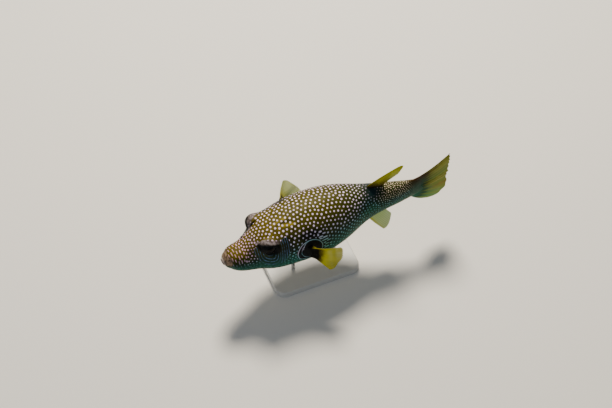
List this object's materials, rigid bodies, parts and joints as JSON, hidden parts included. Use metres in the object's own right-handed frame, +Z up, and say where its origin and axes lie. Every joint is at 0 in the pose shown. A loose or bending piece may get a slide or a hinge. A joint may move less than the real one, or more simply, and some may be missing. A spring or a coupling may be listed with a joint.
{
  "type": "pufferfish display model",
  "caption": "Life-size still model of a white-spotted pufferfish in a swimming pose, held above a flat base by upright rods.",
  "frame": {"origin": "on the surface the stand's base rests on, under the middle of the bounding box", "axes": "+X from head to tail, +Y to the fish's right, +Z up"},
  "size_m": [0.2996, 0.1257, 0.1432],
  "materials": {
    "spotted_skin": "olive-brown skin with pale spots",
    "yellow_fin": "yellow fin membrane",
    "olive_fin": "olive-green fin membrane",
    "dark_eye": "wet dark eye",
    "tooth_enamel": "cream enamel",
    "grey_powder_coat": "light grey powder coat",
    "brushed_steel": "brushed"
  },
  "bodies": {
    "root": {"head": "spotted_skin", "trunk": "spotted_skin", "tail": "spotted_skin", "tail_fin": "olive_fin", "dorsal_fin": "yellow_fin", "anal_fin": "yellow_fin", "pectoral_fin_left": "yellow_fin", "pectoral_fin_right": "yellow_fin", "eye_left": "dark_eye", "eye_right": "dark_eye", "beak_upper": "tooth_enamel", "beak_lower": "tooth_enamel", "nostril_left": "spotted_skin", "nostril_right": "spotted_skin", "stand_base": "grey_powder_coat", "stand_rod_front": "brushed_steel", "stand_rod_rear": "brushed_steel"}
  },
  "joints": []
}
